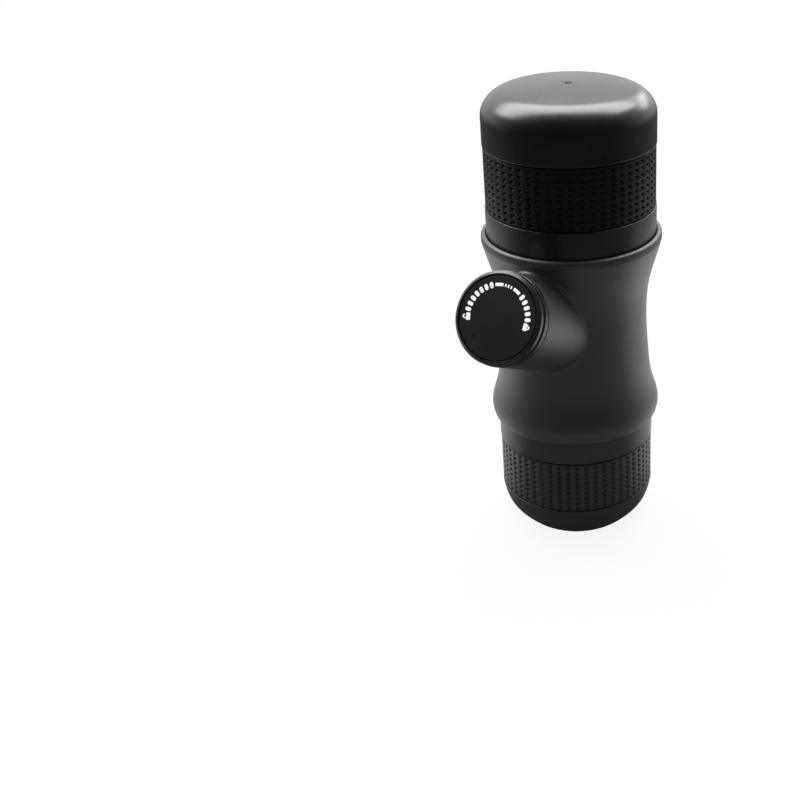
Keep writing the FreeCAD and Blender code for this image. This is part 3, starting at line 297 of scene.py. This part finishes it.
def new_piece(name, points, faces, material, smooth=True):
    mesh = bpy.data.meshes.new(name)
    mesh.from_pydata(points, [], faces)
    mesh.validate()
    mesh.materials.append(material)
    for polygon in mesh.polygons:
        polygon.use_smooth = smooth
    piece = bpy.data.objects.new(name, mesh)
    bpy.context.scene.collection.objects.link(piece)
    return piece


def outer_outline(node):
    """(height, radius) up the outside of a turned CAD node whose side bulges or is straight."""
    widest = {}
    for vertex in frame["nodes"][node].data.vertices:
        height = round(vertex.co.z, 6)
        widest[height] = max(math.hypot(vertex.co.x, vertex.co.y), widest.get(height, 0.0))
    outline = []
    for point in sorted(widest.items()):
        while len(outline) > 1 and bends_in(outline[-2], outline[-1], point):
            outline.pop()
        outline.append(point)
    return outline


def bends_in(first, middle, last):
    """Whether the middle point lies inside the straight line from the first to the last."""
    share = (middle[0] - first[0]) / (last[0] - first[0])
    return middle[1] <= first[1] + share * (last[1] - first[1])


def wall_of(node):
    """Thickness of a turned sleeve at its upper end."""
    low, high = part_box(node)
    radii = [math.hypot(v.co.x, v.co.y) for v in frame["nodes"][node].data.vertices
             if high.z - v.co.z < SAME_HEIGHT]
    return max(radii) - min(radii)


class Side:
    """The outside of a turned piece, by how far along its outline one is."""

    def __init__(self, outline):
        self.outline = outline
        self.lengths = [0.0]
        for (z0, r0), (z1, r1) in zip(outline, outline[1:]):
            self.lengths.append(self.lengths[-1] + math.hypot(z1 - z0, r1 - r0))
        self.length = self.lengths[-1]

    def at(self, along):
        """(height, radius, and the outline's slope there as an angle from upright)."""
        index = 1
        while index < len(self.lengths) - 1 and self.lengths[index] < along:
            index += 1
        (z0, r0), (z1, r1) = self.outline[index - 1], self.outline[index]
        share = (along - self.lengths[index - 1]) / (self.lengths[index] - self.lengths[index - 1])
        return z0 + share * (z1 - z0), r0 + share * (r1 - r0), math.atan2(r1 - r0, z1 - z0)

    def point(self, along, bearing, depth=0.0):
        """The point this far along the outline, at this bearing, sunk by this depth."""
        height, radius, slope = self.at(along)
        height += depth * math.sin(slope)
        radius -= depth * math.cos(slope)
        return (radius * math.cos(bearing), radius * math.sin(bearing), height)


def cell_border():
    """Steps round the edge of a dimple's cell, anticlockwise from its lower left corner."""
    side = range(CELL_STEPS)
    return ([(i, 0) for i in side] + [(CELL_STEPS, i) for i in side]
            + [(CELL_STEPS - i, CELL_STEPS) for i in side] + [(0, CELL_STEPS - i) for i in side])


def dimpled_sleeve(name, node, rows, finish):
    """A rubber sleeve in the place of a plain CAD one, with rows of oval dimples all round it."""
    side = Side(outer_outline(node))
    wall = wall_of(node)
    bottom_end, top_end = GRIP_GAP, side.length - GRIP_GAP
    low, high = bottom_end + GRIP_EDGE, top_end - GRIP_EDGE
    steps_round = DIMPLE_COLUMNS * CELL_STEPS
    turn = 2 * math.pi / steps_round
    rise = (high - low) / (rows * CELL_STEPS)
    points, faces, lattice = [], [], {}

    def add(point):
        points.append(point)
        return len(points) - 1

    def corner(i, j):
        key = (i % steps_round, j)
        if key not in lattice:
            lattice[key] = add(side.point(low + j * rise, i * turn))
        return lattice[key]

    def bridge(first, second):
        """Quads between two closed rings of as many points."""
        for index in range(len(first)):
            after = (index + 1) % len(first)
            faces.append((first[index], first[after], second[after], second[index]))

    border = cell_border()
    middle = CELL_STEPS / 2
    for column in range(DIMPLE_COLUMNS):
        for row in range(rows):
            i0, j0 = column * CELL_STEPS, row * CELL_STEPS
            bearing, along = (i0 + middle) * turn, low + (j0 + middle) * rise
            radius = side.at(along)[1]
            outer = [corner(i0 + i, j0 + j) for i, j in border]
            for size, depth in DIMPLE_RINGS:
                inner = []
                for i, j in border:
                    angle = math.atan2(j - middle, i - middle)
                    sideways = math.cos(angle) * size * DIMPLE_WIDTH / 2
                    upwards = math.sin(angle) * size * DIMPLE_HEIGHT / 2
                    inner.append(add(side.point(along + upwards, bearing + sideways / radius,
                                                depth * DIMPLE_DEPTH)))
                bridge(outer, inner)
                outer = inner
            centre = add(side.point(along, bearing, DIMPLE_DEPTH))
            for index in range(len(outer)):
                faces.append((outer[index], outer[(index + 1) % len(outer)], centre))

    def ring_at(along, depth):
        return [add(side.point(along, i * turn, depth)) for i in range(steps_round)]

    def rounded_end(edge, start, end):
        """Rings round the sleeve's edge, from its outside in to its bore."""
        rings = [edge]
        for step in range(1, GRIP_EDGE_STEPS + 1):
            angle = step / GRIP_EDGE_STEPS * math.pi / 2
            rings.append(ring_at(start + (end - start) * math.sin(angle), GRIP_EDGE * (1 - math.cos(angle))))
        rings.append(ring_at(end, wall))
        return rings

    top = rounded_end([corner(i, rows * CELL_STEPS) for i in range(steps_round)], high, top_end)
    bottom = rounded_end([corner(i, 0) for i in range(steps_round)], low, bottom_end)
    for first, second in zip(top, top[1:]):
        bridge(first, second)
    for first, second in zip(bottom, bottom[1:]):
        bridge(second, first)
    bridge(top[-1], bottom[-1])
    piece = new_piece(name, points, faces, finish.material)
    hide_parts(node)
    return piece


# ------------------------------------------------------------------ print on the knob

def face_place():
    """Where the knob's face is: right, up and out along it, from the middle of its front."""
    hinge = next(joint for joint in frame["joints"] if joint["name"] == "knob_turn")
    out = Vector(hinge["axis"]).normalized()
    start = Vector(hinge["pos_m"])
    front = max((vertex.co - start).dot(out) for vertex in frame["nodes"]["knob_face"].data.vertices)
    right = out.cross(UP).normalized() * -1
    up = out.cross(right)
    rotation = Matrix((right, up, out)).transposed().to_4x4()
    return Matrix.Translation(start + out * front) @ rotation


def arc(radius, first, last, centre=(0, 0)):
    """Points along an arc about a centre, between two bearings in degrees."""
    count = max(2, math.ceil(abs(last - first) / ARC_STEP) + 1)
    steps = [first + (last - first) * index / (count - 1) for index in range(count)]
    return [(centre[0] + radius * math.cos(math.radians(b)), centre[1] + radius * math.sin(math.radians(b)))
            for b in steps]


def round_bar(bearing, width, height):
    """A bar with round ends that stands across the marks' arc."""
    end = width / 2
    straight = height / 2 - end
    return turned(arc(end, 0, 180, (0, straight)) + arc(end, 180, 360, (0, -straight)), bearing)


def dash(first, last):
    """A stretch of the arc itself, as wide as a dash."""
    return (arc(PRINT_R + DASH_HEIGHT / 2, first, last)
            + list(reversed(arc(PRINT_R - DASH_HEIGHT / 2, first, last))))


def turned(outline, bearing):
    """An outline drawn upright about its own middle, set on the marks' arc at this bearing."""
    middle_x = PRINT_R * math.cos(math.radians(bearing))
    middle_y = PRINT_R * math.sin(math.radians(bearing))
    angle = math.radians(bearing - 90)
    return [(middle_x + x * math.cos(angle) - y * math.sin(angle),
             middle_y + x * math.sin(angle) + y * math.cos(angle)) for x, y in outline]


def padlock(bearing, is_open):
    """The outlines of a padlock: its body, and a shackle that is swung up when it is open."""
    body = []
    for index, (x, y) in enumerate([(1, 1), (-1, 1), (-1, -1), (1, -1)]):
        centre = (x * (LOCK_WIDTH / 2 - LOCK_CORNER), y * (LOCK_HEIGHT / 2 - LOCK_CORNER) - LOCK_DROP)
        body += arc(LOCK_CORNER, index * 90, index * 90 + 90, centre)
    body_top = LOCK_HEIGHT / 2 - LOCK_DROP
    top = body_top + (OPEN_LIFT if is_open else CLOSED_LIFT)
    held_end = body_top - SHACKLE_SUNK
    free_end = top - OPEN_END if is_open else held_end
    inner_r = SHACKLE_R - SHACKLE_WIDTH
    shackle = [(SHACKLE_R, free_end)] + arc(SHACKLE_R, 0, 180, (0, top)) + [(-SHACKLE_R, held_end)]
    shackle += [(-inner_r, held_end)] + arc(inner_r, 180, 0, (0, top)) + [(inner_r, free_end)]
    return [turned(body, bearing), turned(shackle, bearing)]


def print_marks():
    """White marks on the knob's face: dashes and ticks between bars, and a padlock at either end."""
    outlines = [dash(first, last) for first, last in DASHES]
    outlines += [round_bar(bearing, TICK_WIDTH, DASH_HEIGHT) for bearing in TICKS]
    for first, last, count in (OPEN_BARS, CLOSED_BARS):
        for index in range(count):
            bearing = first + (last - first) * index / (count - 1)
            outlines.append(round_bar(bearing, MARK_WIDTH, MARK_HEIGHT))
    outlines += padlock(OPEN_LOCK_AT, True) + padlock(CLOSED_LOCK_AT, False)
    points, faces = [], []
    for outline in outlines:
        area = sum(x0 * y1 - x1 * y0 for (x0, y0), (x1, y1) in zip(outline, outline[1:] + outline[:1]))
        if area < 0:
            outline.reverse()
        count, first = len(outline), len(points)
        points += [(x, y, 0.0) for x, y in outline] + [(x, y, PRINT_THICK) for x, y in outline]
        faces.append(tuple(range(first + count - 1, first - 1, -1)))
        faces.append(tuple(range(first + count, first + 2 * count)))
        for index in range(count):
            after = (index + 1) % count
            faces.append((first + index, first + after, first + count + after, first + count + index))
    place = face_place()
    points = [place @ Vector(point) for point in points]
    return new_piece("knob_print", points, faces, INK.material, smooth=False)


# ------------------------------------------------------------------ stage
FLOOR_R = 1.2
FLOOR_CORNERS = 96
FLOOR_COLOUR = (0.12, 0.12, 0.12)
FLOOR_GLOW = 0.8            # lifts the floor to white for the camera, and keeps its shadow light
FLOOR_FADE = (0.05, 0.17)   # between these radii the camera sees it fade into the white surroundings
FLOOR_THIN = 0.5            # how much of the white shows through it even at its middle
MIRRORED_GLOW = 1.0         # how bright the floor behind the object looks in the finish
MIRRORED_RISE = (0.02, 0.08)    # radii between which that glow comes up, outside the object's shade
MIRRORED_FADE = (0.28, 0.39)    # and between which the mirrored floor fades
MIRRORED_BEHIND = (-0.4, 0.3)   # where it comes up, from the camera's side (-1) to the far side (1)
TOWARDS_BACK = (-0.4462, 0.8949, 0.0)    # away from the main camera, level
AMBIENT = 0.85              # the plain, even light on everything
SURROUND_DARK = 0.02        # how bright the surroundings look in the finish, on the camera's side
SURROUND_BRIGHT = 1.25      # and on the far side
SURROUND_LOW = 0.08         # share of that brightness that is left below the horizon
BEHIND_RANGE = (-0.4, 0.8)  # where it changes, from the camera's side (-1) to the far side (1)
HEIGHT_RANGE = (-0.3, 0.12)     # and from below to above the horizon
OVERHEAD_PLACE = (-0.24, 0.13, 0.62)    # the lamp over the tank's front edge, and where it points
OVERHEAD_TARGET = (-0.14, -0.07, 0.17)
OVERHEAD_SIZE = (1.2, 0.36)
OVERHEAD_POWER = 10.0       # watts
CREST_PLACE = (0.12, 0.54, 0.39)        # the lamp that lights the right end of that edge
CREST_TARGET = (0, 0, 0.17)
CREST_SIZE = (0.32, 0.13)
CREST_POWER = 0.75


def math_node(nodes, links, operation, first, second):
    """The result of an operation on two values, each of which is a number or another node's output."""
    node = nodes.new("ShaderNodeMath")
    node.operation = operation
    for index, value in enumerate((first, second)):
        if isinstance(value, float):
            node.inputs[index].default_value = value
        else:
            links.new(value, node.inputs[index])
    return node.outputs["Value"]


def smooth_ramp(nodes, links, value, low, high, to_low, to_high):
    """Maps a value from one range to another in a smooth step."""
    node = nodes.new("ShaderNodeMapRange")
    node.interpolation_type = "SMOOTHSTEP"
    for name, number in zip(("From Min", "From Max", "To Min", "To Max"), (low, high, to_low, to_high)):
        node.inputs[name].default_value = number
    links.new(value, node.inputs["Value"])
    return node.outputs["Result"]


def towards_back(nodes, links, direction):
    """How far a direction points away from the main camera, from -1 to 1."""
    facing = nodes.new("ShaderNodeVectorMath")
    facing.operation = "DOT_PRODUCT"
    facing.inputs[1].default_value = TOWARDS_BACK
    links.new(direction, facing.inputs[0])
    return facing.outputs["Value"]


def ray_kinds(nodes, links):
    """Whether a ray comes straight from the camera, and whether it comes off or through a finish."""
    ray = nodes.new("ShaderNodeLightPath").outputs
    mirrored = math_node(nodes, links, "ADD", ray["Is Glossy Ray"], ray["Is Transmission Ray"])
    return ray["Is Camera Ray"], mirrored


def lit_floor():
    """A pale floor round the foot that fades outwards into the white surroundings."""
    bpy.ops.mesh.primitive_circle_add(vertices=FLOOR_CORNERS, radius=FLOOR_R, fill_type="NGON")
    floor = bpy.context.object
    floor.name = "floor"
    material = bpy.data.materials.new("floor")
    material.use_nodes = True
    nodes, links = material.node_tree.nodes, material.node_tree.links
    nodes.remove(nodes["Principled BSDF"])
    pale = nodes.new("ShaderNodeBsdfDiffuse")
    pale.inputs["Color"].default_value = (*FLOOR_COLOUR, 1)
    clear = nodes.new("ShaderNodeBsdfTransparent")
    where = nodes.new("ShaderNodeTexCoord").outputs["Object"]
    distance = nodes.new("ShaderNodeVectorMath")
    distance.operation = "LENGTH"
    links.new(where, distance.inputs[0])
    from_camera, mirrored = ray_kinds(nodes, links)

    def ramp(first, last):
        return smooth_ramp(nodes, links, distance.outputs["Value"], first, last, 0.0, 1.0)

    def times(first, second):
        return math_node(nodes, links, "MULTIPLY", first, second)

    plain = smooth_ramp(nodes, links, distance.outputs["Value"], *FLOOR_FADE, FLOOR_THIN, 1.0)
    plain_fade = times(plain, math_node(nodes, links, "SUBTRACT", 1.0, mirrored))
    fade = math_node(nodes, links, "ADD", plain_fade, times(ramp(*MIRRORED_FADE), mirrored))
    bearing = nodes.new("ShaderNodeVectorMath")
    bearing.operation = "NORMALIZE"
    links.new(where, bearing.inputs[0])
    facing = towards_back(nodes, links, bearing.outputs["Vector"])
    behind = smooth_ramp(nodes, links, facing, *MIRRORED_BEHIND, 0.0, MIRRORED_GLOW)
    for_finish = times(times(ramp(*MIRRORED_RISE), behind), mirrored)
    seen = math_node(nodes, links, "ADD", times(from_camera, FLOOR_GLOW), for_finish)
    glow = nodes.new("ShaderNodeEmission")
    links.new(seen, glow.inputs["Strength"])
    lifted = nodes.new("ShaderNodeAddShader")
    links.new(pale.outputs["BSDF"], lifted.inputs[0])
    links.new(glow.outputs["Emission"], lifted.inputs[1])
    mix = nodes.new("ShaderNodeMixShader")
    links.new(fade, mix.inputs["Fac"])
    links.new(lifted.outputs["Shader"], mix.inputs[1])
    links.new(clear.outputs["BSDF"], mix.inputs[2])
    links.new(mix.outputs["Shader"], nodes["Material Output"].inputs["Surface"])
    floor.data.materials.append(material)


def surroundings():
    """White to the camera; in the finish, bright on the far side and above, and darker in front."""
    world = bpy.data.worlds.new("surroundings")
    bpy.context.scene.world = world
    world.use_nodes = True
    nodes, links = world.node_tree.nodes, world.node_tree.links
    background = nodes["Background"]
    from_camera, mirrored = ray_kinds(nodes, links)
    where = nodes.new("ShaderNodeTexCoord").outputs["Generated"]
    facing = towards_back(nodes, links, where)
    height = nodes.new("ShaderNodeSeparateXYZ")
    links.new(where, height.inputs[0])
    behind = smooth_ramp(nodes, links, facing, *BEHIND_RANGE, SURROUND_DARK, SURROUND_BRIGHT)
    above = smooth_ramp(nodes, links, height.outputs["Z"], *HEIGHT_RANGE, SURROUND_LOW, 1.0)
    lit = math_node(nodes, links, "MULTIPLY", behind, above)
    seen = math_node(nodes, links, "SUBTRACT", lit, AMBIENT)
    beside = math_node(nodes, links, "ADD", math_node(nodes, links, "MULTIPLY", mirrored, seen), AMBIENT)
    rest = math_node(nodes, links, "SUBTRACT", 1.0, beside)
    unlit = math_node(nodes, links, "MULTIPLY", from_camera, rest)
    strength = math_node(nodes, links, "ADD", unlit, beside)
    links.new(strength, background.inputs["Strength"])
    background.inputs["Color"].default_value = (1, 1, 1, 1)


def softbox(name, place, target, size, power):
    """A soft rectangular lamp that faces a point."""
    lamp = bpy.data.lights.new(name, "AREA")
    lamp.shape = "RECTANGLE"
    lamp.size, lamp.size_y = size
    lamp.energy = power
    holder = bpy.data.objects.new(name, lamp)
    holder.location = place
    holder.rotation_euler = (Vector(target) - Vector(place)).to_track_quat("-Z", "Y").to_euler()
    bpy.context.scene.collection.objects.link(holder)


def lights():
    softbox("overhead", OVERHEAD_PLACE, OVERHEAD_TARGET, OVERHEAD_SIZE, OVERHEAD_POWER)
    softbox("crest", CREST_PLACE, CREST_TARGET, CREST_SIZE, CREST_POWER)


def camera():
    data = bpy.data.cameras.new("camera")
    data.lens = CAMERA_LENS
    data.sensor_width = CAMERA_SENSOR
    data.shift_x, data.shift_y = CAMERA_SHIFT
    holder = bpy.data.objects.new("camera", data)
    turn = (Matrix.Rotation(math.radians(CAMERA_HEADING), 4, "Z")
            @ Matrix.Rotation(math.radians(90 + CAMERA_PITCH), 4, "X")
            @ Matrix.Rotation(math.radians(CAMERA_ROLL), 4, "Z"))
    holder.matrix_world = Matrix.Translation(CAMERA_PLACE) @ turn
    bpy.context.scene.collection.objects.link(holder)
    bpy.context.scene.camera = holder


# ------------------------------------------------------------------ making
finish_cad_nodes()
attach(dimpled_sleeve("tank_grip_dimpled", "tank_grip", TANK_DIMPLE_ROWS, FINISHES["grip_rubber"]), "tank")
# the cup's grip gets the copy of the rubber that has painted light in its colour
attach(dimpled_sleeve("cup_grip_dimpled", "cup_grip", CUP_DIMPLE_ROWS, LIT_CUP_RUBBER), "cup")
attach(print_marks(), "knob")
lit_floor()
surroundings()
lights()
camera()
bpy.context.scene.view_settings.view_transform = "Standard"
